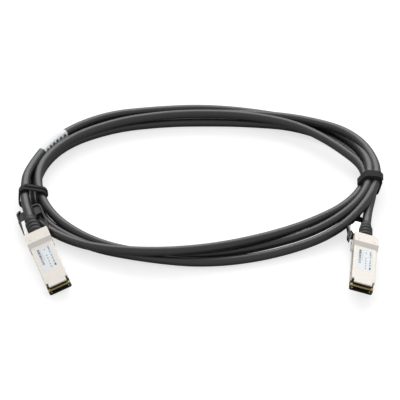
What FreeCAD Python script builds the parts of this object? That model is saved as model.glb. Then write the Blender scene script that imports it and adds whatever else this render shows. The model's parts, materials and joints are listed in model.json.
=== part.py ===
import FreeCAD, Part
import math
import os

# Passive copper network cable with a four-lane plug at each end.
# The cable lies coiled on a flat surface, held by two hook-and-loop ties.
# Units are millimetres, +Z is up, and the surface is at z = 0.
# The origin is under the middle of the two plugs.
# Each plug is drawn in its own frame: X across, Y from the nose back to the cable, Z up.

Vector = FreeCAD.Vector
Rotation = FreeCAD.Rotation
os.makedirs("parts", exist_ok=True)

# Plug envelope
PLUG_WIDTH = 18.35
PLUG_HEIGHT = 8.5
PARTING_Z = 4.9
TOP_FRONT_Y = 0.8
NOTCH_BACK_Y = 5.1
NOTCH_WIDTH = 2.0
SLOPE_FRONT_Y = 47.0
HEAD_FRONT_Y = 50.2
HEAD_BACK_Y = 61.3
HEAD_WIDTH = PLUG_WIDTH + 1.45
HEAD_TOP_Z = 10.9
HEAD_BOTTOM_Z = -2.4
EDGE_ROUND = 0.5

# Paddle card and its contacts
CARD_NOSE_WIDTH = PLUG_WIDTH - 1.95
CARD_REAR_WIDTH = CARD_NOSE_WIDTH - 3.0
CARD_BOTTOM_Z = 3.8
CARD_THICKNESS = 1.0
CARD_TOP_Z = CARD_BOTTOM_Z + CARD_THICKNESS
CARD_FRONT_Y = 0.6
CARD_NECK_Y = 10.0
CARD_BACK_Y = 41.0
CARD_BEVEL = 0.3
CARD_CLEARANCE = 0.15
CONTACT_COUNT = 19
CONTACT_PITCH = CARD_NOSE_WIDTH / (CONTACT_COUNT + 1.5)
CONTACT_WIDTH = 0.54
CONTACT_FOIL = 0.06
CONTACT_LENGTH = 3.6

# Nose frame under the card
NOSE_DEPTH = 6.0
NOSE_FLOOR = 0.9
NOSE_MOUTH_CLEARANCE = 0.1
NOSE_MOUTH_HALF = ((CONTACT_COUNT - 1) * CONTACT_PITCH + CONTACT_WIDTH) / 2 + NOSE_MOUTH_CLEARANCE
NOSE_CORNER = 1.4
NOSE_PIN = 0.9

# Cavities and the latch channels in the two shells
CAVITY_HALF_WIDTH = 7.0
CAVITY_FLOOR_Z = 1.2
CAVITY_ROOF_Z = 7.4
CHANNEL_X = 8.25
CHANNEL_LOW_Z = 2.3
CHANNEL_HIGH_Z = 6.3
CHANNEL_FRONT_Y = 11.0
SPRING_POCKET_X = 6.1
SPRING_POCKET_FRONT_Y = 42.0
SPRING_BACK_Y = 48.6

# Latch slider
SLIDER_SHEET = 0.6
SLIDER_X = 8.35
SLIDER_LOW_Z = 2.5
SLIDER_HIGH_Z = 6.1
SLIDER_FRONT_Y = 13.5
SLIDER_RAMP = 0.4
SLIDER_RAMP_LENGTH = 3.5
LUG_FRONT_Y = 42.4
WING_FRONT_Y = 61.7
WING_Z = 4.3
BRIDGE_Z = -1.7
BRIDGE_LENGTH = 4.0

# Return springs
SPRING_WIRE = 0.3
SPRING_RADIUS = 0.75
SPRING_TURNS = 4
SPRING_X = 7.2
SPRING_Z = 4.3
SPRING_STEPS = 8

# Cable and boot
CABLE_RADIUS = 3.6
CABLE_AXIS_Z = 4.25
CABLE_START_Y = 62.0
TAIL_BEND_Y = 96.0
BOOT_RADIUS = 5.7
BOOT_NECK_RADIUS = 4.0
BOOT_RIBBED_LENGTH = 17.0
BOOT_LENGTH = 22.5
BOOT_RINGS = 4
BOOT_FLAT_Z = -0.85
ROUND_SIDES = 24
FERRULE_RADIUS = 3.5
FERRULE_FRONT_Y = 49.0
FERRULE_BACK_Y = 59.0
PAIR_RADIUS = 0.6
PAIR_SPACING = 2.0
PAIR_SIDES = 8

# Shell pins and label
PIN_RADIUS = 0.45
PIN_X = 6.5
PIN_Y = 53.4
LABEL_WIDTH = 12.3
LABEL_LENGTH = 26.6
LABEL_THICKNESS = 0.12
LABEL_FRONT_Y = 16.9
LABEL_RECESS = 0.15
LABEL_CLEARANCE = 0.08

# Pull tab
TAB_RIM = 1.4
TAB_LOW_Z = -1.1
TAB_HIGH_Z = 2.4
TAB_FRONT_Y = WING_FRONT_Y + BRIDGE_LENGTH
TAB_BACK_Y = 98.2
TAB_CORNER = 4.5
TAB_OPEN_LEAD = 40.0
TAB_WEB = 0.7
TAB_WEB_FRONT_Y = 86.5
TAB_PAD_HIGH_Z = 1.4
TAB_PAD_GAP = 0.5
TAB_SADDLE_X = (-4.4, 5.6)
TAB_FOOT_INNER_X = 6.6

# Where each plug lies: nose position, then yaw, pitch and roll in degrees
LEFT_NOSE = Vector(-103.44, -43.34, 2.33)
LEFT_ANGLES = (19.0, 3.6, -17.0)
RIGHT_NOSE = Vector(125.01, -51.08, 7.32)
RIGHT_ANGLES = (-5.5, -2.5, 14.8)

# Coil: an oval ring of two arc radii
COIL_CENTRE = Vector(3.90, 87.23, 9.4)
COIL_HALF_LENGTH = 139.5
COIL_HALF_WIDTH = 93.0
COIL_END_RADIUS = 62.0
COIL_SECTION_WIDTH = 19.6
COIL_SECTION_HEIGHT = 16.0
COIL_SECTION_CHAMFER = 5.0

# Ties round the coil
TIE_WIDTH = 10.0
TIE_SHEET = 1.1
TIE_GAP = 0.3
TIE_FLAP_SHEET = 1.0
TIE_ROUND = 6.3


def placement(nose, angles):
    yaw, pitch, roll = angles
    turn = Rotation(Vector(0, 0, 1), yaw)
    turn = turn.multiply(Rotation(Vector(1, 0, 0), pitch))
    turn = turn.multiply(Rotation(Vector(0, 1, 0), roll))
    return FreeCAD.Placement(nose, turn)


def box(low, high):
    size = [top - bottom for bottom, top in zip(low, high)]
    return Part.makeBox(*size, Vector(*low))


def both_sides(solid):
    return [solid, solid.mirror(Vector(0, 0, 0), Vector(1, 0, 0))]


def extrude_across(points, half_width):
    """A side outline of (y, z) points, given its full width across X."""
    corners = [Vector(-half_width, y, z) for y, z in points]
    face = Part.Face(Part.makePolygon(corners + corners[:1]))
    return face.extrude(Vector(2 * half_width, 0, 0))


def rounded_rectangle(width, height, radius):
    """A wire in the XZ plane, centred on the origin."""
    plate = Part.makeBox(width, 1.0, height, Vector(-width / 2, 0, -height / 2))
    corners = [edge for edge in plate.Edges if abs(edge.tangentAt(edge.FirstParameter).y) > 0.9]
    plate = plate.makeFillet(radius, corners)
    faces = [face for face in plate.Faces if face.CenterOfMass.y < 1e-6]
    return faces[0].OuterWire


def polygon_wire(radius, y, sides):
    """A regular polygon round the cable's axis, square to it at y."""
    corners = []
    for index in range(sides + 1):
        angle = 2 * math.pi * index / sides
        corners.append(Vector(radius * math.cos(angle), y, CABLE_AXIS_Z + radius * math.sin(angle)))
    return Part.makePolygon(corners)


def latch_cuts():
    """The side channels for the slider, and the pockets for its lugs and springs."""
    channel = box((CHANNEL_X, CHANNEL_FRONT_Y, CHANNEL_LOW_Z),
                  (HEAD_WIDTH, HEAD_BACK_Y + 1, CHANNEL_HIGH_Z))
    pocket = box((SPRING_POCKET_X, SPRING_POCKET_FRONT_Y, SPRING_Z - 1.1),
                 (CHANNEL_X + 0.1, SPRING_BACK_Y, SPRING_Z + 1.1))
    return both_sides(channel) + both_sides(pocket)


def pin_holes():
    hole = Part.makeCylinder(PIN_RADIUS, 20, Vector(PIN_X, PIN_Y, 2.0))
    return both_sides(hole)


def cable_passage():
    """The way for the ferrule and the boot's neck, with as many sides as the boot."""
    return Part.Face(polygon_wire(BOOT_NECK_RADIUS, FERRULE_FRONT_Y, ROUND_SIDES)).extrude(Vector(0, 20, 0))


def round_head(solid, corner_radius):
    """Round the head's rear corner on the +X side, as seen from above."""
    half = HEAD_WIDTH / 2
    plan = box((-half, HEAD_FRONT_Y - 20, HEAD_BOTTOM_Z - 1), (half, HEAD_BACK_Y, HEAD_TOP_Z + 1))
    corner = [edge for edge in plan.Edges
              if abs(edge.tangentAt(edge.FirstParameter).z) > 0.99
              and edge.CenterOfMass.y > HEAD_BACK_Y - 0.1 and edge.CenterOfMass.x > half - 0.1]
    return solid.common(plan.makeFillet(corner_radius, corner))


def make_top_shell(corner_radius):
    half = PLUG_WIDTH / 2
    plug = box((-half, TOP_FRONT_Y, PARTING_Z), (half, HEAD_FRONT_Y, PLUG_HEIGHT))
    long_edges = [edge for edge in plug.Edges
                  if abs(edge.tangentAt(edge.FirstParameter).y) > 0.9
                  and edge.CenterOfMass.z > PLUG_HEIGHT - 0.1]
    plug = plug.makeFillet(EDGE_ROUND, long_edges)
    head_outline = [(SLOPE_FRONT_Y, PARTING_Z), (SLOPE_FRONT_Y, PLUG_HEIGHT),
                    (HEAD_FRONT_Y, HEAD_TOP_Z), (HEAD_BACK_Y, HEAD_TOP_Z), (HEAD_BACK_Y, PARTING_Z)]
    head = round_head(extrude_across(head_outline, HEAD_WIDTH / 2), corner_radius)
    shell = plug.fuse(head)
    mouth_half = CARD_NOSE_WIDTH / 2 + CARD_CLEARANCE
    mouth = box((-mouth_half, 0, PARTING_Z - 1), (mouth_half, CARD_NECK_Y, CAVITY_ROOF_Z))
    cavity = box((-CAVITY_HALF_WIDTH, CARD_NECK_Y - 1, PARTING_Z - 1),
                 (CAVITY_HALF_WIDTH, FERRULE_FRONT_Y, CAVITY_ROOF_Z))
    notch = box((half - NOTCH_WIDTH, 0, PARTING_Z - 1), (half + 1, NOTCH_BACK_Y, PLUG_HEIGHT + 1))
    recess = label_plate(LABEL_CLEARANCE, PLUG_HEIGHT - LABEL_RECESS, PLUG_HEIGHT + 1)
    cuts = [mouth, cavity, recess, cable_passage()] + both_sides(notch) + latch_cuts() + pin_holes()
    return shell.cut(cuts).removeSplitter()


def make_bottom_shell(corner_radius):
    half = PLUG_WIDTH / 2
    plug = box((-half, NOSE_DEPTH, 0), (half, HEAD_FRONT_Y, PARTING_Z))
    long_edges = [edge for edge in plug.Edges
                  if abs(edge.tangentAt(edge.FirstParameter).y) > 0.9
                  and edge.CenterOfMass.z < 0.1]
    plug = plug.makeFillet(EDGE_ROUND, long_edges)
    head_outline = [(HEAD_FRONT_Y - 1.5, PARTING_Z), (HEAD_BACK_Y, PARTING_Z),
                    (HEAD_BACK_Y, HEAD_BOTTOM_Z + 1.0), (HEAD_BACK_Y - 1.0, HEAD_BOTTOM_Z),
                    (HEAD_FRONT_Y + 1.5, HEAD_BOTTOM_Z), (HEAD_FRONT_Y - 1.5, 0.0)]
    head = extrude_across(head_outline, HEAD_WIDTH / 2)
    low_edges = [edge for edge in head.Edges
                 if abs(edge.tangentAt(edge.FirstParameter).y) > 0.9
                 and edge.CenterOfMass.z < HEAD_BOTTOM_Z + 0.1]
    head = round_head(head.makeFillet(1.2, low_edges), corner_radius)
    shell = plug.fuse(head)
    rear_half = CARD_REAR_WIDTH / 2 + CARD_CLEARANCE
    seat = box((-rear_half, 0, CARD_BOTTOM_Z), (rear_half, CARD_BACK_Y + CARD_CLEARANCE, PARTING_Z + 1))
    nose_half = CARD_NOSE_WIDTH / 2 + CARD_CLEARANCE
    nose_seat = box((-nose_half, 0, CARD_BOTTOM_Z),
                    (nose_half, CARD_NECK_Y + CARD_CLEARANCE, PARTING_Z + 1))
    well_half = CAVITY_HALF_WIDTH - 1
    well = box((-well_half, NOSE_DEPTH - 1, CAVITY_FLOOR_Z), (well_half, FERRULE_FRONT_Y, PARTING_Z + 1))
    cuts = [seat, nose_seat, well, cable_passage()] + latch_cuts() + pin_holes()
    return shell.cut(cuts).removeSplitter()


def make_nose_frame():
    """U-shaped frame that carries the front of the card and leaves a mouth under it."""
    half = PLUG_WIDTH / 2
    frame = box((-half, 0, 0), (half, NOSE_DEPTH, CARD_BOTTOM_Z))
    low_edges = [edge for edge in frame.Edges
                 if abs(edge.tangentAt(edge.FirstParameter).y) > 0.9
                 and edge.CenterOfMass.z < 0.1]
    frame = frame.makeFillet(NOSE_CORNER, low_edges)
    mouth = box((-NOSE_MOUTH_HALF, -1, NOSE_FLOOR),
                (NOSE_MOUTH_HALF, NOSE_DEPTH - 1.2, CARD_BOTTOM_Z + 1))
    return frame.cut(mouth)


def make_nose_pins():
    """Two short bright pins that stand in the mouth, one by each rail."""
    side = NOSE_MOUTH_HALF - 0.1
    low_z = NOSE_FLOOR + 0.7
    pin = box((side - NOSE_PIN, 0.6, low_z), (side, NOSE_DEPTH - 1.2, low_z + NOSE_PIN))
    return Part.makeCompound(both_sides(pin))


def make_paddle_card():
    nose_half = CARD_NOSE_WIDTH / 2
    front = [(CARD_FRONT_Y, CARD_BOTTOM_Z + CARD_BEVEL), (CARD_FRONT_Y, CARD_TOP_Z - CARD_BEVEL),
             (CARD_FRONT_Y + CARD_BEVEL, CARD_TOP_Z), (CARD_NECK_Y, CARD_TOP_Z),
             (CARD_NECK_Y, CARD_BOTTOM_Z), (CARD_FRONT_Y + CARD_BEVEL, CARD_BOTTOM_Z)]
    nose = extrude_across(front, nose_half)
    rear_half = CARD_REAR_WIDTH / 2
    rear = box((-rear_half, CARD_NECK_Y - 1, CARD_BOTTOM_Z), (rear_half, CARD_BACK_Y, CARD_TOP_Z))
    return nose.fuse(rear).removeSplitter()


def make_contacts():
    """One row of gold contacts on each face of the card."""
    contacts = []
    front = CARD_FRONT_Y + CARD_BEVEL + 0.05
    for index in range(CONTACT_COUNT):
        left = (index - (CONTACT_COUNT - 1) / 2) * CONTACT_PITCH - CONTACT_WIDTH / 2
        for low in (CARD_TOP_Z, CARD_BOTTOM_Z - CONTACT_FOIL):
            contacts.append(box((left, front, low),
                                (left + CONTACT_WIDTH, front + CONTACT_LENGTH, low + CONTACT_FOIL)))
    return Part.makeCompound(contacts)


def make_slider(wing_plan):
    """Stamped latch: two side arms, a bridge under the cable and one rear wing."""
    outer = SLIDER_X + SLIDER_SHEET
    leg_back = WING_FRONT_Y + BRIDGE_LENGTH
    arm = box((SLIDER_X, SLIDER_FRONT_Y, SLIDER_LOW_Z), (outer, leg_back, SLIDER_HIGH_Z))
    ramp_end = SLIDER_FRONT_Y + SLIDER_RAMP_LENGTH
    ramp_points = [Vector(outer, SLIDER_FRONT_Y, 0), Vector(outer + SLIDER_RAMP, ramp_end - 1, 0),
                   Vector(outer + SLIDER_RAMP, ramp_end, 0), Vector(outer, ramp_end, 0)]
    ramp_face = Part.Face(Part.makePolygon(ramp_points + ramp_points[:1]))
    ramp = ramp_face.extrude(Vector(0, 0, 2.0))
    ramp.translate(Vector(0, 0, (SLIDER_LOW_Z + SLIDER_HIGH_Z) / 2 - 1.0))
    lug = box((SPRING_POCKET_X + 0.2, LUG_FRONT_Y, SPRING_Z - 0.9),
              (SLIDER_X, LUG_FRONT_Y + SLIDER_SHEET, SPRING_Z + 0.9))
    leg = box((SLIDER_X, WING_FRONT_Y, BRIDGE_Z), (outer, leg_back, SLIDER_LOW_Z))
    side = arm.fuse([ramp, lug, leg])
    corners = [Vector(x, y, WING_Z) for x, y in wing_plan]
    wing = Part.Face(Part.makePolygon(corners + corners[:1])).extrude(Vector(0, 0, SLIDER_SHEET))
    bridge = box((-outer, WING_FRONT_Y, BRIDGE_Z), (outer, leg_back, BRIDGE_Z + SLIDER_SHEET))
    return bridge.fuse(both_sides(side) + [wing]).removeSplitter()


def make_springs():
    """Coils of square wire, lofted through sections that stand on the spring's axis."""
    half = SPRING_WIRE / 2
    length = SPRING_BACK_Y - LUG_FRONT_Y - SLIDER_SHEET - 2 * half
    count = SPRING_TURNS * SPRING_STEPS
    sections = []
    for index in range(count + 1):
        angle = 2 * math.pi * index / SPRING_STEPS
        y = LUG_FRONT_Y + SLIDER_SHEET + half + length * index / count
        corners = []
        for radius, along in ((SPRING_RADIUS - half, -half), (SPRING_RADIUS + half, -half),
                              (SPRING_RADIUS + half, half), (SPRING_RADIUS - half, half)):
            corners.append(Vector(SPRING_X + radius * math.cos(angle), y + along,
                                  SPRING_Z + radius * math.sin(angle)))
        sections.append(Part.makePolygon(corners + corners[:1]))
    spring = Part.makeLoft(sections, True, True)
    return Part.makeCompound(both_sides(spring))


def make_boot():
    """Moulded strain relief: a neck in the head, a stack of rings and a plain taper."""
    pitch = BOOT_RIBBED_LENGTH / BOOT_RINGS
    groove = 0.6
    front = HEAD_BACK_Y + 0.1
    outline = []
    for ring in range(BOOT_RINGS):
        radius = BOOT_RADIUS - 0.15 * ring
        start = front + ring * pitch
        outline += [(radius, start), (radius, start + pitch * 0.66),
                    (radius - groove, start + pitch * 0.76), (radius - groove, start + pitch * 0.94)]
    outline.append((BOOT_NECK_RADIUS, front + BOOT_LENGTH))
    rings = Part.makeLoft([polygon_wire(radius, y, ROUND_SIDES) for radius, y in outline], True, True)
    neck = Part.Face(polygon_wire(BOOT_NECK_RADIUS - 0.05, FERRULE_BACK_Y, ROUND_SIDES))
    neck = neck.extrude(Vector(0, front + 1 - FERRULE_BACK_Y, 0))
    bore_radius = CABLE_RADIUS / math.cos(math.pi / ROUND_SIDES)
    bore = Part.Face(polygon_wire(bore_radius, FERRULE_BACK_Y - 1, ROUND_SIDES))
    bore = bore.extrude(Vector(0, BOOT_LENGTH + 10, 0))
    flat = box((-BOOT_RADIUS - 1, HEAD_BACK_Y - 1, -BOOT_RADIUS),
               (BOOT_RADIUS + 1, front + BOOT_LENGTH + 1, BOOT_FLAT_Z))
    return rings.fuse(neck).cut([bore, flat])


def make_ferrule():
    """Crimped six-sided sleeve with a collar."""
    along = Vector(0, 1, 0)
    sleeve = Part.Face(polygon_wire(FERRULE_RADIUS, FERRULE_FRONT_Y, 6))
    sleeve = sleeve.extrude(along * (FERRULE_BACK_Y - FERRULE_FRONT_Y))
    collar = Part.Face(polygon_wire(BOOT_NECK_RADIUS - 0.1, FERRULE_FRONT_Y + 2, ROUND_SIDES))
    return sleeve.fuse(collar.extrude(along * 1.2)).removeSplitter()


def make_pairs():
    """Eight shielded pairs, four on each face of the card."""
    pairs = []
    start_y = CARD_BACK_Y - 4
    for column in range(4):
        x = (column - 1.5) * PAIR_SPACING
        for z in (CARD_TOP_Z + PAIR_RADIUS, CARD_BOTTOM_Z - PAIR_RADIUS):
            pair = Part.Face(polygon_wire(PAIR_RADIUS, start_y, PAIR_SIDES))
            pair.translate(Vector(x, 0, z - CABLE_AXIS_Z))
            pairs.append(pair.extrude(Vector(0, FERRULE_FRONT_Y - start_y, 0)))
    return Part.makeCompound(pairs)


def make_shell_pins():
    pin = Part.makeCylinder(PIN_RADIUS, HEAD_TOP_Z - 2.3, Vector(PIN_X, PIN_Y, 2.0))
    return Part.makeCompound(both_sides(pin))


def label_plate(grow, low_z, high_z):
    half = LABEL_WIDTH / 2 + grow
    plate = box((-half, LABEL_FRONT_Y - grow, low_z),
                (half, LABEL_FRONT_Y + LABEL_LENGTH + grow, high_z))
    corners = [edge for edge in plate.Edges if abs(edge.tangentAt(edge.FirstParameter).z) > 0.9]
    return plate.makeFillet(0.6 + grow, corners)


def make_label():
    """The label lies in a shallow recess, a hair below the top face."""
    low = PLUG_HEIGHT - LABEL_RECESS
    return label_plate(0, low, low + LABEL_THICKNESS)


def tab_plan(left_edge, right_edge, inset):
    """The loop seen from above, rounded at the rear, as a solid of the rim's height.

    An inset plan runs on past the front, so that the loop is open between its arms.
    """
    height = TAB_HIGH_Z - TAB_LOW_Z
    back = TAB_BACK_Y - inset
    outline = [(x + inset, y) for x, y in left_edge] + [(left_edge[-1][0] + inset, back)]
    outline += [(right_edge[-1][0] - inset, back)] + [(x - inset, y) for x, y in reversed(right_edge)]
    if inset:
        ends = [(x, y - TAB_OPEN_LEAD) for x, y in (outline[0], outline[-1])]
        outline = ends[:1] + outline + ends[1:]
    corners = [Vector(x, y, TAB_LOW_Z) for x, y in outline]
    plan = Part.Face(Part.makePolygon(corners + corners[:1])).extrude(Vector(0, 0, height))
    rear = [edge for edge in plan.Edges
            if abs(edge.tangentAt(edge.FirstParameter).z) > 0.9 and edge.CenterOfMass.y > back - 0.1]
    return plan.makeFillet(TAB_CORNER - inset, rear)


def make_tab(left_edge, right_edge, feet, fins, trims):
    """Flexible moulded loop: two arms joined behind the boot, under the cable.

    The edges are the arms' outer (x, y) lines, each foot seats an arm on the latch's bridge,
    and each fin is a plan outline that stands between two heights.
    """
    loop = tab_plan(left_edge, right_edge, 0).cut(tab_plan(left_edge, right_edge, TAB_RIM))
    inside = tab_plan(left_edge, right_edge, TAB_RIM)
    web = inside.common(box((-30, TAB_WEB_FRONT_Y, TAB_LOW_Z), (30, TAB_BACK_Y, TAB_LOW_Z + TAB_WEB)))
    pads = tab_plan(left_edge, right_edge, TAB_RIM + TAB_PAD_GAP)
    pads = pads.common(box((-30, TAB_WEB_FRONT_Y + 1, TAB_LOW_Z), (30, TAB_BACK_Y, TAB_PAD_HIGH_Z)))
    solids = [web, pads] + [box(low, high) for low, high in feet]
    for plan, low_z, high_z in fins:
        corners = [Vector(x, y, low_z) for x, y in plan]
        fin = Part.Face(Part.makePolygon(corners + corners[:1])).extrude(Vector(0, 0, high_z - low_z))
        solids.append(fin)
    saddle_low_x, saddle_high_x = TAB_SADDLE_X
    saddle = box((saddle_low_x, TAB_WEB_FRONT_Y - 1, TAB_LOW_Z + TAB_WEB),
                 (saddle_high_x, TAB_BACK_Y + 1, TAB_HIGH_Z + 1))
    cuts = [saddle] + [box(low, high) for low, high in trims]
    return loop.fuse(solids).cut(cuts).removeSplitter()


def make_plug(side, nose, angles, corner_radius, wing_plan, tab):
    pieces = {
        "top_shell": make_top_shell(corner_radius),
        "bottom_shell": make_bottom_shell(corner_radius),
        "nose_frame": make_nose_frame(),
        "nose_pins": make_nose_pins(),
        "paddle_card": make_paddle_card(),
        "card_contacts": make_contacts(),
        "latch_slider": make_slider(wing_plan),
        "return_springs": make_springs(),
        "pull_tab": make_tab(*tab),
        "strain_relief_boot": make_boot(),
        "crimp_ferrule": make_ferrule(),
        "twinax_pairs": make_pairs(),
        "shell_pins": make_shell_pins(),
        "shell_label": make_label(),
    }
    where = placement(nose, angles)
    placed = {}
    for name, shape in pieces.items():
        moved = shape.copy()
        moved.Placement = where.multiply(moved.Placement)
        placed[side + "_" + name] = moved
    return placed


def chamfered_section():
    x, z, cut = COIL_SECTION_WIDTH / 2, COIL_SECTION_HEIGHT / 2, COIL_SECTION_CHAMFER
    outline = [(x - cut, -z), (x, cut - z), (x, z - cut), (x - cut, z),
               (cut - x, z), (-x, z - cut), (-x, cut - z), (cut - x, -z)]
    corners = [Vector(px, 0, pz) for px, pz in outline]
    return Part.Face(Part.makePolygon(corners + corners[:1]))


def coil_ring():
    """The oval ring is four tangent arcs, each a revolved eight-sided section."""
    long, short, end = COIL_HALF_LENGTH, COIL_HALF_WIDTH, COIL_END_RADIUS
    flank = ((long - end) ** 2 + short ** 2 - end ** 2) / (2 * (short - end))
    section = chamfered_section()
    half_end = math.degrees(math.atan2(flank - short, long - end))
    arcs = []
    for middle, offset, radius, half in (
            (0, Vector(long - end, 0, 0), end, half_end),
            (90, Vector(0, short - flank, 0), flank, 90 - half_end),
            (180, Vector(end - long, 0, 0), end, half_end),
            (270, Vector(0, flank - short, 0), flank, 90 - half_end)):
        piece = section.copy()
        piece.translate(Vector(radius, 0, 0))
        piece = piece.revolve(Vector(0, 0, 0), Vector(0, 0, 1), 2 * half)
        piece.rotate(Vector(0, 0, 0), Vector(0, 0, 1), middle - half)
        piece.translate(COIL_CENTRE + offset)
        arcs.append(piece)
    print("coil arc radii:", round(end, 1), round(flank, 1))
    return arcs[0].fuse(arcs[1:]).removeSplitter()


def make_tie(x, y, inner_top, flap_low_x, flap_high_x):
    """Hook-and-loop strap round the coil, with its free end lapped over the top."""
    inner_width = COIL_SECTION_WIDTH + 2 * TIE_GAP
    height = inner_top - TIE_SHEET
    middle = Vector(x, y - TIE_WIDTH / 2, TIE_SHEET + height / 2)

    def band(grow):
        wire = rounded_rectangle(inner_width + 2 * grow, height + 2 * grow, TIE_ROUND + grow)
        solid = Part.Face(wire).extrude(Vector(0, TIE_WIDTH, 0))
        solid.translate(middle)
        return solid

    strap = band(TIE_SHEET).cut(band(0))
    lap = band(TIE_SHEET + TIE_FLAP_SHEET).cut(band(TIE_SHEET))
    reach = box((x + flap_low_x, y - TIE_WIDTH, middle.z + 1.5),
                (x + flap_high_x, y + TIE_WIDTH, inner_top + 10))
    return strap.fuse(lap.common(reach)).removeSplitter()


def tube_along(points, radius):
    """Straight runs joined by tangent arcs, each as large as its two runs allow."""
    edges = []
    here = points[0]
    radii = []
    for before, corner, after in zip(points, points[1:], points[2:]):
        arriving = (corner - before).normalize()
        leaving = (after - corner).normalize()
        turn = arriving.getAngle(leaving)
        run = min((corner - before).Length, (after - corner).Length)
        setback = 0.45 * run
        radii.append(setback / math.tan(turn / 2))
        start = corner - arriving * setback
        end = corner + leaving * setback
        inward = (leaving - arriving).normalize()
        reach = radii[-1] / math.cos(turn / 2) - radii[-1]
        middle = corner + inward * reach
        edges.append(Part.LineSegment(here, start).toShape())
        edges.append(Part.Arc(start, middle, end).toShape())
        here = end
    edges.append(Part.LineSegment(here, points[-1]).toShape())
    path = Part.Wire(edges)
    ring = Part.Circle(points[0], points[1] - points[0], radius).toShape()
    section = Part.makePolygon(ring.discretize(ROUND_SIDES + 1))
    tube = path.makePipeShell([section], True, False)
    expected = ROUND_SIDES / 2 * math.sin(2 * math.pi / ROUND_SIDES) * radius ** 2 * path.Length
    print("tail radii:", [round(value, 1) for value in radii], "length", round(path.Length, 1),
          "volume ratio", round(tube.Volume / expected, 4))
    return tube


left_at = placement(LEFT_NOSE, LEFT_ANGLES)
right_at = placement(RIGHT_NOSE, RIGHT_ANGLES)

# The pull tabs: arms' outer edges, feet on the bridge, upright fins and trims, all in plug frames.
leg_x = SLIDER_X - 0.05
foot_low = (WING_FRONT_Y + 0.4, BRIDGE_Z + SLIDER_SHEET)
foot_back_y = TAB_FRONT_Y + 1.5
left_foot = ((-leg_x, foot_low[0], foot_low[1]), (-TAB_FOOT_INNER_X, foot_back_y, 1.6))
right_foot = ((TAB_FOOT_INNER_X, foot_low[0], foot_low[1]), (leg_x, foot_back_y, 1.6))

wing_inner = [(-4.35, 83.2), (-4.9, 78.6), (-5.5, 77.5), (-5.9, 66.0), (-5.9, WING_FRONT_Y)]

left_wing = [(-8.6, WING_FRONT_Y), (-8.6, 68.5), (-7.3, 82.4), (-6.6, 83.2)] + wing_inner
left_flank = [(-9.4, TAB_FRONT_Y), (-8.75, TAB_FRONT_Y), (-8.7, 68.6), (-7.4, 82.5),
              (-7.4, 84.5), (-9.4, 84.5)]
left_feet = [left_foot, right_foot,
             ((leg_x - 0.5, TAB_FRONT_Y, TAB_LOW_Z), (10.2, foot_back_y, 1.6))]
left_tab = ([(-9.4, TAB_FRONT_Y), (-9.4, 80.0), (-8.8, 92.0)],
            [(10.6, TAB_FRONT_Y), (12.3, 79.0), (12.4, 92.0)],
            left_feet, [(left_flank, TAB_LOW_Z, WING_Z + SLIDER_SHEET)], [])

# The right tab is bent outwards, and a slanting hook stands beside the head.
right_wing = [(-8.6, WING_FRONT_Y), (-8.95, TAB_FRONT_Y), (-11.8, 70.2), (-12.0, 76.3),
              (-8.7, 83.2)] + wing_inner
right_hook = [(-9.8, 73.5), (-9.8, 72.3), (-10.4, 67.7), (-12.3, 55.5), (-13.3, 55.8),
              (-11.4, 69.9), (-11.2, 73.5)]
right_brace = [(-12.8, TAB_FRONT_Y), (-8.0, TAB_FRONT_Y), (-8.0, foot_back_y), (-9.8, 73.5),
               (-11.2, 73.5), (-12.8, foot_back_y)]
right_tab = ([(-13.2, 62.5), (-13.5, 66.0), (-13.2, 71.5), (-14.4, 78.0), (-14.4, 92.0)],
             [(6.6, TAB_FRONT_Y), (6.0, 76.0), (4.6, 86.0), (4.2, 92.0)],
             [left_foot, ((TAB_FOOT_INNER_X - 1.4, foot_low[0], foot_low[1]), (leg_x, foot_back_y, 0.6))],
             [(right_hook, 2.6, WING_Z - 0.1), (right_brace, TAB_LOW_Z, 2.8)],
             [((2.5, WING_FRONT_Y, 0.6), (8.0, TAB_WEB_FRONT_Y, TAB_HIGH_Z + 1))])

nodes = make_plug("left", LEFT_NOSE, LEFT_ANGLES, 0.8, left_wing, left_tab)
nodes.update(make_plug("right", RIGHT_NOSE, RIGHT_ANGLES, 5.0, right_wing, right_tab))

# The coil passes under the left tail and tab, and over the right ones.
left_room = box((-14.0, 52.0, TAB_LOW_Z - 0.5), (17.0, 102.0, 60.0))
left_room.Placement = left_at
right_room = box((-17.0, 40.0, -30.0), (11.0, 102.0, CABLE_AXIS_Z + CABLE_RADIUS + 1.6))
right_room.Placement = right_at
coil = coil_ring().cut([left_room, right_room]).removeSplitter()
nodes["cable_coil"] = coil

left_route = [left_at.multVec(Vector(0, CABLE_START_Y, CABLE_AXIS_Z)),
              left_at.multVec(Vector(0, TAIL_BEND_Y, CABLE_AXIS_Z)),
              Vector(-137.56, 72.69, 12.6)]
right_route = [right_at.multVec(Vector(0, CABLE_START_Y, CABLE_AXIS_Z)),
               right_at.multVec(Vector(0, TAIL_BEND_Y, CABLE_AXIS_Z)),
               Vector(140.94, 70.69, 5.6)]
for side, route in (("left", left_route), ("right", right_route)):
    tail = tube_along(route, CABLE_RADIUS).cut(coil)
    pieces = sorted(tail.Solids, key=lambda solid: solid.distToShape(Part.Vertex(route[0]))[0])
    nodes[side + "_cable_tail"] = pieces[0]

nodes["left_tie"] = make_tie(COIL_CENTRE.x - COIL_HALF_LENGTH, COIL_CENTRE.y, 17.7, -4.0, 20.0)
nodes["right_tie"] = make_tie(COIL_CENTRE.x + COIL_HALF_LENGTH, COIL_CENTRE.y, 20.3, -20.0, 20.0)

object_box = FreeCAD.BoundBox()
whole_box = FreeCAD.BoundBox()
for name, shape in nodes.items():
    whole_box.add(shape.BoundBox)
    if not any(word in name for word in ("coil", "tail", "tie")):
        object_box.add(shape.BoundBox)
    shape.exportStep("parts/" + name + ".step")
print("plugs' box:", object_box)
print("whole box:", whole_box)
for name, shape in nodes.items():
    print(name, "solids", len(shape.Solids), "valid", shape.isValid(), "low", round(shape.BoundBox.ZMin, 3))
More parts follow.
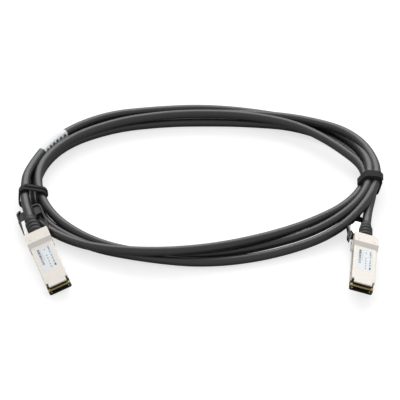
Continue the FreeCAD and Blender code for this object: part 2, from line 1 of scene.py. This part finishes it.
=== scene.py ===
import bpy
import bmesh
import json
import math
from mathutils import Matrix, Vector


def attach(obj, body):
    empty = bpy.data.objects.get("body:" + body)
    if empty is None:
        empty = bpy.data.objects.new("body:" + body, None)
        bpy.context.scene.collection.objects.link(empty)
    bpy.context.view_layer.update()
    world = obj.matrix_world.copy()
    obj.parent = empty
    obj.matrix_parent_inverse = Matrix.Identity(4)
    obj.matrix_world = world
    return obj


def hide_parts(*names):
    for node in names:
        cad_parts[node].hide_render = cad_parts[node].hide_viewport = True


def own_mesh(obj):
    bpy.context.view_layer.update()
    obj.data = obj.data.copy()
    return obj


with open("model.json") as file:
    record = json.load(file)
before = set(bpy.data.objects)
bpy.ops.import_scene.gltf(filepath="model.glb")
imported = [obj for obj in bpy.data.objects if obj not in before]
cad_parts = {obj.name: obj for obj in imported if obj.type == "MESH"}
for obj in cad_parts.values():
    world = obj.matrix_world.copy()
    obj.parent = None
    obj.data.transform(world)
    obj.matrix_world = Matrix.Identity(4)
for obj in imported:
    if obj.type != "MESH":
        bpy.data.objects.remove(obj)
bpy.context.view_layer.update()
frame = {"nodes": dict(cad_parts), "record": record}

MM = 0.001

# Camera: it looks down at AIM from far away, square to the coil's long side.
AIM = Vector((2.94, 73.69, 0.0)) * MM
CAMERA_DISTANCE = 2.0
CAMERA_ELEVATION = math.radians(37.7)
CAMERA_LENS = 223.6
CAMERA_SENSOR = 36.0
CAMERA_CLIP = 100.0

# Cable: START and STRAIGHT are how far back from each nose it begins and stays straight.
CABLE_DIAMETER = 7.2 * MM
CABLE_RADIUS = CABLE_DIAMETER / 2
CABLE_AXIS_HEIGHT = 4.25 * MM
CABLE_START = 62.0 * MM
CABLE_STRAIGHT = 96.0 * MM
LEFT_LEAD = Vector((-137.56, 72.69, 12.6)) * MM
RIGHT_LEAD = Vector((140.94, 70.69, 5.6)) * MM
CABLE_BEVEL_STEPS = 8
CABLE_ROUTE_STEPS = 20

# The coil's turns run clockwise from above, past these stations (degrees round the coil's middle).
# Each pass has a lane, counted outwards in cable diameters from the oval, and a height in mm.
COIL_MIDDLE = Vector((2.94, 88.69, 0.0)) * MM
OVAL_HALF_LENGTH = 137.0 * MM
OVAL_HALF_WIDTH = 97.0 * MM
STATIONS = (177, 156, 133, 109, 88, 66, 44, 24, 4, -13, -33, -58, -87, -114, -139, -161)
PASSES = (
    ((0.45, 0.62, 1.07, 1.24, 1.33, 1.18, 1.73, 1.58,
      0.50, 0.02, -0.84, -1.45, -0.88, -0.40, -0.22, -0.15),
     (12.5, 12.5, 10.5, 4.5, 3.6, 4.0, 3.6, 8.0,
      15.5, 12.5, 7.0, 3.6, 3.6, 3.6, 3.6, 8.0)),
    ((-0.27, -0.55, -0.81, -1.17, -1.18, -0.99, -0.68, -1.20,
      0.42, -1.25, -2.50, -1.82, -0.49, 0.90, 1.68, 1.55),
     (12.0, 11.5, 11.0, 11.5, 11.5, 11.5, 11.0, 12.0,
      9.0, 7.0, 7.5, 10.5, 12.5, 13.0, 7.5, 3.6)),
    ((0.60, 1.70, 0.76, -0.03, 0.00, 0.20, 0.80, 1.78,
      1.32, 0.80, 0.78, 0.28, 0.60, 0.57, 0.82, 0.80),
     (5.0, 4.5, 3.6, 4.0, 5.0, 7.0, 10.5, 14.0,
      14.5, 13.0, 7.0, 3.6, 4.0, 5.6, 3.6, 3.6)),
    ((-0.25, -0.17, -0.62, -1.25, -1.42, -0.99, 0.20, 0.80, 0.75),
     (5.0, 5.0, 4.0, 3.6, 3.6, 3.6, 4.5, 3.6, 4.5)),
)


def plug_frame(side):
    """A plug's own frame, from its two mounts. Its origin is at the nose's foot, with X across,
    Y from the nose to the cable, and Z up."""
    mounts = {mount["name"]: mount for mount in frame["record"]["mounts"]}
    nose = mounts[side + "_plug_nose"]
    back = -Vector(nose["axis"])
    up = Vector(mounts[side + "_plug_top"]["axis"])
    across = back.cross(up)
    turn = Matrix((across, back, up)).transposed()
    foot = Vector(nose["pos_m"]) - turn @ Vector((0, 0, CABLE_AXIS_HEIGHT))
    return Matrix.Translation(foot) @ turn.to_4x4()


SIDES = ("left", "right")
PLUGS = {side: plug_frame(side) for side in SIDES}


# Materials

NOISE_DETAIL = 3.0
GRAIN_SCALE = 1800
GRAIN_SHADE = 0.1
GRAIN_DEPTH = 0.00005


class Shader:
    """Builds one procedural material, node by node."""

    def __init__(self, name, color, roughness=0.5, metallic=0.0, specular=0.5):
        self.material = bpy.data.materials.new(name)
        self.material.use_nodes = True
        self.nodes = self.material.node_tree.nodes
        self.links = self.material.node_tree.links
        self.surface = self.nodes["Principled BSDF"]
        self.set("Base Color", (*color, 1.0))
        self.set("Roughness", roughness)
        self.set("Metallic", metallic)
        self.set("Specular IOR Level", specular)
        self.place = self.nodes.new("ShaderNodeTexCoord").outputs["Object"]

    def set(self, socket, value):
        """A value that is the same all over."""
        self.surface.inputs[socket].default_value = value

    def noise(self, scale):
        """Noise that is fixed to the piece, as a grain for the colour, roughness or bump."""
        noise = self.nodes.new("ShaderNodeTexNoise")
        noise.inputs["Scale"].default_value = scale
        noise.inputs["Detail"].default_value = NOISE_DETAIL
        self.links.new(self.place, noise.inputs["Vector"])
        return noise.outputs["Fac"]

    def color(self, fac, dark_stop, light_stop):
        """Colour by the noise. Each stop is a position and a colour."""
        ramp = self.nodes.new("ShaderNodeValToRGB")
        for element, (position, color) in zip(ramp.color_ramp.elements, (dark_stop, light_stop)):
            element.position = position
            element.color = (*color, 1.0)
        self.links.new(fac, ramp.inputs["Fac"])
        self.links.new(ramp.outputs["Color"], self.surface.inputs["Base Color"])

    def roughness(self, fac, low, high):
        """Roughness that follows the noise between two values."""
        spread = self.nodes.new("ShaderNodeMapRange")
        spread.inputs["To Min"].default_value = low
        spread.inputs["To Max"].default_value = high
        self.links.new(fac, spread.inputs["Value"])
        self.links.new(spread.outputs["Result"], self.surface.inputs["Roughness"])

    def bump(self, height, strength, distance):
        """Relief from the noise, with its depth in metres."""
        bump = self.nodes.new("ShaderNodeBump")
        bump.inputs["Strength"].default_value = strength
        bump.inputs["Distance"].default_value = distance
        self.links.new(height, bump.inputs["Height"])
        self.links.new(bump.outputs["Normal"], self.surface.inputs["Normal"])


def make_jacket():
    """The cable's black jacket, with a soft sheen."""
    shader = Shader("cable_jacket", (0.02, 0.02, 0.022), roughness=0.4, specular=0.75)
    grain = shader.noise(900)
    shader.color(grain, (0.3, (0.017, 0.017, 0.019)), (0.7, (0.024, 0.024, 0.026)))
    shader.roughness(grain, 0.37, 0.44)
    shader.bump(shader.noise(2500), 0.15, 0.0001)
    return shader.material


def make_nickel():
    """The shells' warm satin plating."""
    shader = Shader("nickel_shell", (0.80, 0.75, 0.69), roughness=0.5, metallic=0.12)
    grain = shader.noise(1500)
    shader.color(grain, (0.2, (0.86, 0.81, 0.745)), (0.8, (0.90, 0.85, 0.785)))
    shader.roughness(grain, 0.42, 0.5)
    shader.bump(grain, 0.1, GRAIN_DEPTH)
    return shader.material


def make_plain(name, color, roughness, metallic=0.0):
    """A moulded, stamped or printed surface with faint grain."""
    shader = Shader(name, color, roughness, metallic)
    grain = shader.noise(GRAIN_SCALE)
    dark = tuple(value * (1 - GRAIN_SHADE) for value in color)
    light = tuple(min(1.0, value * (1 + GRAIN_SHADE)) for value in color)
    shader.color(grain, (0.3, dark), (0.7, light))
    shader.roughness(grain, roughness - 0.04, roughness + 0.05)
    shader.bump(grain, 0.1, GRAIN_DEPTH)
    return shader.material


MATERIALS = {
    "cable_jacket": make_jacket(),
    "nickel_shell": make_nickel(),
    "nose_frame": make_plain("nose_frame", (0.030, 0.022, 0.014), 0.4),
    "bright_pin": make_plain("bright_pin", (0.9, 0.9, 0.88), 0.25, 0.9),
    # The card and its gold contacts are darkened to brown: painted shade under the top shell's
    # front lip.
    "circuit_card": make_plain("circuit_card", (0.045, 0.028, 0.014), 0.5),
    "gold_contact": make_plain("gold_contact", (0.20, 0.12, 0.045), 0.45, 0.8),
    "solder_mask": make_plain("solder_mask", (0.01, 0.13, 0.07), 0.4),
    "gold_edge": make_plain("gold_edge", (0.46, 0.37, 0.17), 0.45, 0.3),
    "gold_corner": make_plain("gold_corner", (0.72, 0.52, 0.22), 0.35, 0.5),
    "print_dark": make_plain("print_dark", (0.12, 0.12, 0.13), 0.6),
    "print_grey": make_plain("print_grey", (0.42, 0.43, 0.45), 0.6),
    "print_pale": make_plain("print_pale", (0.62, 0.64, 0.67), 0.6),
    "print_blue": make_plain("print_blue", (0.36, 0.62, 0.88), 0.6),
    "stamped_steel": make_plain("stamped_steel", (0.70, 0.69, 0.67), 0.35, 0.8),
    "spring_steel": make_plain("spring_steel", (0.55, 0.55, 0.55), 0.3, 1.0),
    "black_plastic": make_plain("black_plastic", (0.018, 0.018, 0.02), 0.45),
    "boot_rubber": make_plain("boot_rubber", (0.035, 0.035, 0.037), 0.55),
    "ferrule": make_plain("ferrule", (0.6, 0.5, 0.32), 0.35, 1.0),
    "wire_jacket": make_plain("wire_jacket", (0.10, 0.14, 0.45), 0.45),
    "pin_steel": make_plain("pin_steel", (0.35, 0.34, 0.33), 0.4, 0.8),
    "label_white": make_plain("label_white", (0.86, 0.90, 0.94), 0.4),
    "tie_fabric": make_plain("tie_fabric", (0.012, 0.012, 0.013), 0.85),
}


slots = {subpart["node"]: subpart["material_slot"] for subpart in frame["record"]["subparts"]}
for name, node in frame["nodes"].items():
    node.data.materials.clear()
    node.data.materials.append(MATERIALS[slots[name]])


# Helpers


def add_piece(name, mesh, material):
    """Link a mesh as a piece of its own, on the cable assembly."""
    mesh.materials.append(MATERIALS[material])
    piece = bpy.data.objects.new(name, mesh)
    bpy.context.scene.collection.objects.link(piece)
    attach(piece, "cable_assembly")
    return piece


def mesh_of(name, shape):
    """The mesh of a bmesh, which is then done with."""
    mesh = bpy.data.meshes.new(name)
    shape.to_mesh(mesh)
    shape.free()
    return mesh


def solid_mesh(name, shape):
    """The same, with all its faces turned outwards."""
    bmesh.ops.recalc_face_normals(shape, faces=shape.faces)
    return mesh_of(name, shape)


def skin(shape, rings, smooth=False):
    """Join each closed ring of vertices to the next with quads."""
    for one, two in zip(rings, rings[1:]):
        for step in range(len(one)):
            after = (step + 1) % len(one)
            face = shape.faces.new((one[step], one[after], two[after], two[step]))
            face.smooth = smooth


def box_mesh(name, boxes, place):
    """One mesh of upright boxes, each given by its low and high corner in mm."""
    shape = bmesh.new()
    for low, high in boxes:
        middle = (Vector(low) + Vector(high)) / 2
        size = Vector(high) - Vector(low)
        step = Matrix.Translation(middle * MM) @ Matrix.Diagonal((*(size * MM), 1))
        bmesh.ops.create_cube(shape, size=1, matrix=place @ step)
    return mesh_of(name, shape)


def mirrored(low, high):
    """A box and its mirror image across the plug's middle."""
    return [(low, high), ((-high[0], *low[1:]), (-low[0], *high[1:]))]


# Cable

def coil_point(station, lane, height):
    """A point over the coil's oval, from its station, its lane and its height."""
    angle = math.radians(station)
    oval = 1 / math.hypot(math.cos(angle) / OVAL_HALF_LENGTH, math.sin(angle) / OVAL_HALF_WIDTH)
    reach = oval + lane * CABLE_DIAMETER
    return COIL_MIDDLE + Vector((reach * math.cos(angle), reach * math.sin(angle), height * MM))


def cable_route():
    """The spline's points, from the left plug round the coil to the right plug."""
    start = Vector((0, CABLE_START, CABLE_AXIS_HEIGHT))
    straight = Vector((0, CABLE_STRAIGHT, CABLE_AXIS_HEIGHT))
    points = [PLUGS["left"] @ start, PLUGS["left"] @ straight, LEFT_LEAD]
    for lanes, heights in PASSES:
        for station, lane, height in zip(STATIONS, lanes, heights):
            points.append(coil_point(station, lane, height))
    points += [RIGHT_LEAD, PLUGS["right"] @ straight, PLUGS["right"] @ start]
    return points


def make_cable():
    """The whole cable as one NURBS spline."""
    curve = bpy.data.curves.new("cable", "CURVE")
    curve.dimensions = "3D"
    curve.bevel_depth = CABLE_RADIUS
    curve.bevel_resolution = CABLE_BEVEL_STEPS
    curve.use_fill_caps = True
    curve.resolution_u = CABLE_ROUTE_STEPS
    spline = curve.splines.new("NURBS")
    points = cable_route()
    spline.points.add(len(points) - 1)
    for control, point in zip(spline.points, points):
        control.co = (*point, 1.0)
    spline.order_u = 3
    spline.use_endpoint_u = True
    cable = bpy.data.objects.new("cable", curve)
    bpy.context.scene.collection.objects.link(cable)
    curve.materials.append(MATERIALS["cable_jacket"])
    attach(cable, "cable_assembly")
    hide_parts("cable_coil", "left_cable_tail", "right_cable_tail")
    return cable


CABLE = make_cable()


# Card edge and label print, in mm in each plug's own frame

CARD_TOP = 4.8
CARD_HALF_WIDTH = 8.2
CARD_PLATING = 0.07
LABEL_TOP = 8.47
PRINT_SINK = 0.01
PRINT_RISE = 0.02

# The bars' place across the label, where they begin, and each bar's length and the space after it
BARS_LEFT, BARS_RIGHT = -4.9, -3.1
BARS_BACK_Y = 42.6
BARS = ((1.5, 0.5), (0.9, 0.4), (1.6, 0.5), (0.7, 0.6), (1.3, 0.5), (0.8, 0.7),
        (0.9, 0.6), (0.5, 0.9), (0.7, 0.6), (0.6, 0.9), (0.9, 0.5), (0.5, 0.5))
DASH_LENGTH = 1.6
DASH_STARTS = (39.5, 32.6, 29.4, 26.0, 22.8)

# The other marks: piece, material, and each mark's two edges across and along the label
MARKS = (
    ("print_line", "print_pale", [(-2.2, -1.8, 29.0, 42.2)]),
    ("print_dashes", "print_grey",
     [(0.4, 1.3, start, start + DASH_LENGTH) for start in DASH_STARTS] + [(0.4, 1.4, 19.6, 21.2)]),
    ("print_row", "print_grey",
     [(3.7, 4.9, 37.8, 42.6), (3.9, 4.8, 30.6, 33.2),
      (3.8, 4.9, 27.2, 29.8), (3.8, 4.9, 23.6, 26.4)]),
    ("print_end", "print_dark", [(3.7, 5.0, 19.8, 22.4)]),
    ("print_patch", "print_blue", [(3.6, 5.0, 34.6, 37.0)]),
)


def make_card_trim(side):
    """Gold front edge and corners on the card, and its green mask inside the notches."""
    half, top = CARD_HALF_WIDTH, CARD_TOP + CARD_PLATING
    trims = (
        ("card_edge", "gold_edge",
         [((-half, 0.5, 3.85), (half, 0.95, top)), ((-half, 0.95, CARD_TOP), (half, 1.35, top))]),
        ("card_corners", "gold_corner", mirrored((7.45, 0.4, 3.82), (9.1, 1.5, CARD_TOP + 0.6))),
        ("card_mask", "solder_mask",
         mirrored((7.25, 1.5, CARD_TOP + 0.01), (8.15, 5.0, CARD_TOP + 0.09))),
    )
    for name, material, boxes in trims:
        add_piece(side + "_" + name, box_mesh(name, boxes, PLUGS[side]), material)


def bar_marks():
    """The label's run of bars, from the back."""
    marks = []
    y = BARS_BACK_Y
    for length, space in BARS:
        marks.append((BARS_LEFT, BARS_RIGHT, y - length, y))
        y -= length + space
    return marks


def make_print(side):
    """Plain bars, dashes and one patch stand for the label's print."""
    for name, material, marks in (("print_bars", "print_dark", bar_marks()), *MARKS):
        boxes = [((x0, y0, LABEL_TOP - PRINT_SINK), (x1, y1, LABEL_TOP + PRINT_RISE))
                 for x0, x1, y0, y1 in marks]
        add_piece(side + "_" + name, box_mesh(name, boxes, PLUGS[side]), material)


for side in SIDES:
    make_card_trim(side)
    make_print(side)


# Springs and boots, in mm in each plug's own frame

SPRING_START, SPRING_END = 43.05, 48.6
SPRING_WIRE, SPRING_RADIUS, SPRING_TURNS = 0.3, 0.75, 4
SPRING_STEPS = 12
SPRING_X, SPRING_Z = 7.2, 4.3

BOOT_SIDES = 48
BOOT_START = 61.35
BOOT_FLAT_Z = -0.85
BOOT_RINGS = 4
BOOT_RING_PITCH = 4.1
BOOT_RING_RADIUS = 5.8
BOOT_RING_TAPER = 0.12
# One ring's outline: how far inside the ring's radius, and how far along from its start
BOOT_RING_OUTLINE = ((0.25, 0), (0, 0.35), (0, 2.3), (0.25, 2.65), (1.15, 2.9), (1.15, 3.85))
# The taper after the last ring: radius and place
BOOT_TAPER = ((4.75, BOOT_START + BOOT_RINGS * BOOT_RING_PITCH),
              (4.3, 81.0), (3.75, 84.0), (3.5, 84.1))


def make_springs(side):
    """The two return springs, one on each side of the plug."""
    half = SPRING_WIRE / 2
    count = SPRING_TURNS * SPRING_STEPS
    run = SPRING_END - SPRING_START
    inner, outer = SPRING_RADIUS - half, SPRING_RADIUS + half
    section = ((inner, -half), (outer, -half), (outer, half), (inner, half))
    shape = bmesh.new()
    for across in (-1, 1):
        rings = []
        for index in range(count + 1):
            angle = math.tau * index / SPRING_STEPS
            y = SPRING_START + half + (run - 2 * half) * index / count
            ring = []
            for radius, along in section:
                point = Vector((across * (SPRING_X + radius * math.cos(angle)), y + along,
                                SPRING_Z + radius * math.sin(angle)))
                ring.append(shape.verts.new(PLUGS[side] @ (point * MM)))
            rings.append(ring)
        skin(shape, rings)
        shape.faces.new(rings[0])
        shape.faces.new(rings[-1])
    name = side + "_spring_pair"
    springs = add_piece(name, solid_mesh(name, shape), "spring_steel")
    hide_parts(side + "_return_springs")
    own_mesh(springs)


def make_boot(side):
    """Rubber strain relief: four rounded rings and a taper, flat underneath."""
    outline = []
    for ring in range(BOOT_RINGS):
        radius = BOOT_RING_RADIUS - BOOT_RING_TAPER * ring
        start = BOOT_START + ring * BOOT_RING_PITCH
        outline += [(radius - inside, start + along) for inside, along in BOOT_RING_OUTLINE]
    outline += BOOT_TAPER
    shape = bmesh.new()
    rings = []
    for radius, y in outline:
        ring = []
        for step in range(BOOT_SIDES):
            angle = math.tau * step / BOOT_SIDES
            z = max(CABLE_AXIS_HEIGHT / MM + radius * math.sin(angle), BOOT_FLAT_Z)
            point = Vector((radius * math.cos(angle), y, z))
            ring.append(shape.verts.new(PLUGS[side] @ (point * MM)))
        rings.append(ring)
    skin(shape, rings, smooth=True)
    shape.faces.new(rings[0])
    shape.faces.new(rings[-1])
    name = side + "_boot"
    boot = add_piece(name, solid_mesh(name, shape), "boot_rubber")
    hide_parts(side + "_strain_relief_boot")


# Hook-and-loop ties and the wrap label, which follow the cable

FLOOR_GAP = 0.2 * MM
STRAND_REACH = 26.0 * MM
WRAP_STEP = 5
SLEEVE_STEPS = 12
SLEEVE_SHEET = 0.15 * MM
TICK_SHEET = 0.03 * MM
TICK_ARC = (8, 40)
SLEEVE_ENDS = ((-123.2, 121.0, 12.0), (-106.2, 146.6, 11.0))
WELD = 0.0000001


def route_line(cable):
    """The points of the cable's spline, from a copy of it that has no bevel."""
    bare = bpy.data.objects.new("bare_route", cable.data.copy())
    bare.data.bevel_depth = 0
    bpy.context.scene.collection.objects.link(bare)
    bpy.context.view_layer.update()
    evaluated = bare.evaluated_get(bpy.context.evaluated_depsgraph_get())
    mesh = bpy.data.meshes.new_from_object(evaluated)
    points = [vertex.co.copy() for vertex in mesh.vertices]
    bpy.data.objects.remove(bare)
    bpy.data.meshes.remove(mesh)
    return points


def strands_across(middle, along):
    """Where the cable crosses the plane square to along: offsets across and upwards from the
    middle, and these two directions."""
    across = along.cross(Vector((0, 0, 1))).normalized()
    up = across.cross(along)
    found = []
    for start, end in zip(LINE, LINE[1:]):
        before, after = (start - middle).dot(along), (end - middle).dot(along)
        if (before < 0) != (after < 0):
            offset = start.lerp(end, before / (before - after)) - middle
            if offset.length < STRAND_REACH:
                found.append(Vector((offset.dot(across), offset.dot(up))))
    return found, across, up


def wrap_mesh(name, strands, axes, layers):
    """Bands drawn tight round the strands. Each layer has its reach from the strands' middles,
    its sheet, its back and front edges along the cable, its skew, and the arc in degrees from
    first to last that it covers."""
    middle, along, across, up = axes
    shape = bmesh.new()
    for inner, sheet, back, front, skew, first, last in layers:
        closed = last - first >= 360
        count = round((last - first) / WRAP_STEP)
        rings = []
        for index in range(count if closed else count + 1):
            angle = math.radians(first + WRAP_STEP * index)
            normal = Vector((math.cos(angle), math.sin(angle)))
            held = max(strands, key=lambda strand: strand.dot(normal))
            slide = skew * index / count
            outer = inner + sheet
            ring = []
            for reach, shift in ((inner, back), (outer, back), (outer, front), (inner, front)):
                flat = held + normal * reach
                point = middle + across * flat.x + up * flat.y + along * (shift + slide)
                point.z = max(point.z, FLOOR_GAP)
                ring.append(shape.verts.new(point))
            rings.append(ring)
        skin(shape, rings + rings[:1] if closed else rings)
        if not closed:
            shape.faces.new(rings[0])
            shape.faces.new(list(reversed(rings[-1])))
    return solid_mesh(name, shape)


def make_strap(name, middle, along, layers, replaced, slack=()):
    """A tie drawn round the strands, and round each slack place that it hangs out to, in mm."""
    middle, along = Vector(middle) * MM, Vector(along).normalized()
    strands, across, up = strands_across(middle, along)
    strands += [Vector(place) * MM for place in slack]
    layers = [[value * MM for value in layer[:5]] + list(layer[5:]) for layer in layers]
    mesh = wrap_mesh(name, strands, (middle, along, across, up), layers)
    piece = add_piece(name, mesh, "tie_fabric")
    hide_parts(replaced)
    return piece


def nearest(place):
    """The index of the route's point nearest to a place in mm."""
    place = Vector(place) * MM
    return min(range(len(LINE)), key=lambda index: (LINE[index] - place).length)


def sleeve_mesh(name, runs, reach, sheet):
    """Curved plates on the cable: each run has its first and last route point, and its arc in
    degrees. A full arc closes on itself."""
    shape = bmesh.new()
    count = SLEEVE_STEPS + 1
    for first, last, low, high in runs:
        rows = []
        for index in range(first, last + 1):
            along = (LINE[index + 1] - LINE[index - 1]).normalized()
            across = along.cross(Vector((0, 0, 1))).normalized()
            up = across.cross(along)
            row = []
            for radius in (reach, reach + sheet):
                for step in range(count):
                    angle = math.radians(low + (high - low) * step / SLEEVE_STEPS)
                    flat = across * math.cos(angle) + up * math.sin(angle)
                    row.append(shape.verts.new(LINE[index] + flat * radius))
            rows.append((row[:count], row[count:]))
        for (one, one_out), (two, two_out) in zip(rows, rows[1:]):
            for step in range(SLEEVE_STEPS):
                after = step + 1
                shape.faces.new((one[step], one[after], two[after], two[step]))
                shape.faces.new((one_out[step], two_out[step], two_out[after], one_out[after]))
            if high - low < 360:
                shape.faces.new((one[0], two[0], two_out[0], one_out[0]))
                shape.faces.new((one[-1], one_out[-1], two_out[-1], two[-1]))
        for inside, outside in (rows[0], rows[-1]):
            for step in range(SLEEVE_STEPS):
                after = step + 1
                shape.faces.new((inside[step], inside[after], outside[after], outside[step]))
    bmesh.ops.remove_doubles(shape, verts=shape.verts, dist=WELD)
    return solid_mesh(name, shape)


def make_wrap_label():
    """A white sleeve on the cable, with a row of plain ticks."""
    first, last = sorted(nearest(place) for place in SLEEVE_ENDS)
    mesh = sleeve_mesh("wrap_label", [(first, last, 0, 360)], CABLE_RADIUS, SLEEVE_SHEET)
    sleeve = add_piece("wrap_label", mesh, "label_white")
    ticks = [(index, index + 1, *TICK_ARC) for index in range(first + 1, last - 1, 2)]
    mesh = sleeve_mesh("wrap_ticks", ticks, CABLE_RADIUS + SLEEVE_SHEET, TICK_SHEET)
    add_piece("wrap_ticks", mesh, "print_dark")
    return sleeve


LINE = route_line(CABLE)

# Each tie is a closed band with a flap over it.
left_strap = make_strap(
    "left_strap", (-132.0, 67.0, 9.0), (-0.10, 1.0, -0.28),
    [(3.75, 1.2, 4.2, -4.2, 0.0, 0, 360), (5.0, 1.0, 4.8, 0.6, -0.8, -25, 90)],
    "left_tie", [(-5.6, -3.6)])
right_strap = make_strap(
    "right_strap", (141.0, 82.6, 9.0), (0.05, 1.0, 0.0),
    [(3.75, 1.2, 3.8, -3.8, 0.0, 0, 360), (5.0, 1.0, 4.3, -3.2, 0.0, 20, 150)],
    "right_tie")
wrap_label = make_wrap_label()
for side in SIDES:
    make_boot(side)
    make_springs(side)
cable_route()[0]


# Floor, light and camera

FLOOR_REACH = 6.0
FLOOR_DROP = 0.0001
FLOOR_GREY = (0.45, 0.45, 0.45, 1)
FLOOR_BOUNCE = (0.45, 0.45, 0.46, 1)
FLOOR_ROUGHNESS = 0.9
FLOOR_GLOW = 0.68
WORLD_LIGHT = 0.6
WORLD_SEEN = 1.0


def make_floor():
    """A white floor that keeps the shadow, and is greyer in the light that it throws back."""
    mesh = bpy.data.meshes.new("floor")
    reach = FLOOR_REACH
    corners = [(-reach, -reach, 0), (reach, -reach, 0), (reach, reach, 0), (-reach, reach, 0)]
    mesh.from_pydata(corners, [], [(0, 1, 2, 3)])
    floor = bpy.data.objects.new("floor", mesh)
    bpy.context.scene.collection.objects.link(floor)
    floor.location.z = -FLOOR_DROP
    material = bpy.data.materials.new("floor")
    material.use_nodes = True
    nodes = material.node_tree.nodes
    links = material.node_tree.links
    surface = nodes["Principled BSDF"]
    surface.inputs["Base Color"].default_value = FLOOR_GREY
    surface.inputs["Roughness"].default_value = FLOOR_ROUGHNESS
    glow = nodes.new("ShaderNodeEmission")
    glow.inputs["Strength"].default_value = FLOOR_GLOW
    both = nodes.new("ShaderNodeAddShader")
    links.new(surface.outputs[0], both.inputs[0])
    links.new(glow.outputs[0], both.inputs[1])
    bounce = nodes.new("ShaderNodeBsdfDiffuse")
    bounce.inputs["Color"].default_value = FLOOR_BOUNCE
    choose = nodes.new("ShaderNodeMixShader")
    path = nodes.new("ShaderNodeLightPath")
    links.new(path.outputs["Is Camera Ray"], choose.inputs[0])
    links.new(bounce.outputs[0], choose.inputs[1])
    links.new(both.outputs[0], choose.inputs[2])
    links.new(choose.outputs[0], nodes["Material Output"].inputs["Surface"])
    mesh.materials.append(material)


def make_world():
    """An even white surround, brighter where the camera sees it."""
    world = bpy.data.worlds.new("studio")
    world.use_nodes = True
    bpy.context.scene.world = world
    nodes = world.node_tree.nodes
    links = world.node_tree.links
    backdrop = nodes["Background"]
    backdrop.inputs["Color"].default_value = (1, 1, 1, 1)
    strength = nodes.new("ShaderNodeMapRange")
    strength.inputs["To Min"].default_value = WORLD_LIGHT
    strength.inputs["To Max"].default_value = WORLD_SEEN
    path = nodes.new("ShaderNodeLightPath")
    links.new(path.outputs["Is Camera Ray"], strength.inputs["Value"])
    links.new(strength.outputs["Result"], backdrop.inputs["Strength"])


def make_area_light(name, place, size, watts):
    """A broad light that faces AIM."""
    light = bpy.data.lights.new(name, "AREA")
    light.shape = "RECTANGLE"
    light.size, light.size_y = size
    light.energy = watts
    lamp = bpy.data.objects.new(name, light)
    lamp.location = place
    lamp.rotation_mode = "QUATERNION"
    lamp.rotation_quaternion = (AIM - Vector(place)).to_track_quat("-Z", "Y")
    bpy.context.scene.collection.objects.link(lamp)


def make_camera():
    """The photo's view."""
    camera = bpy.data.cameras.new("camera")
    camera.lens = CAMERA_LENS
    camera.sensor_width = CAMERA_SENSOR
    camera.clip_end = CAMERA_CLIP
    eye = bpy.data.objects.new("camera", camera)
    back = Vector((0, -math.cos(CAMERA_ELEVATION), math.sin(CAMERA_ELEVATION)))
    eye.location = AIM + back * CAMERA_DISTANCE
    eye.rotation_mode = "QUATERNION"
    eye.rotation_quaternion = (-back).to_track_quat("-Z", "Y")
    bpy.context.scene.collection.objects.link(eye)
    bpy.context.scene.camera = eye


make_floor()
make_world()
make_area_light("key", (0.0, 0.9, 1.3), (1.2, 0.6), 2)
make_area_light("back", (0.0, 1.75, 1.25), (2.4, 1.2), 26)
make_camera()
bpy.context.scene.view_settings.view_transform = "Standard"
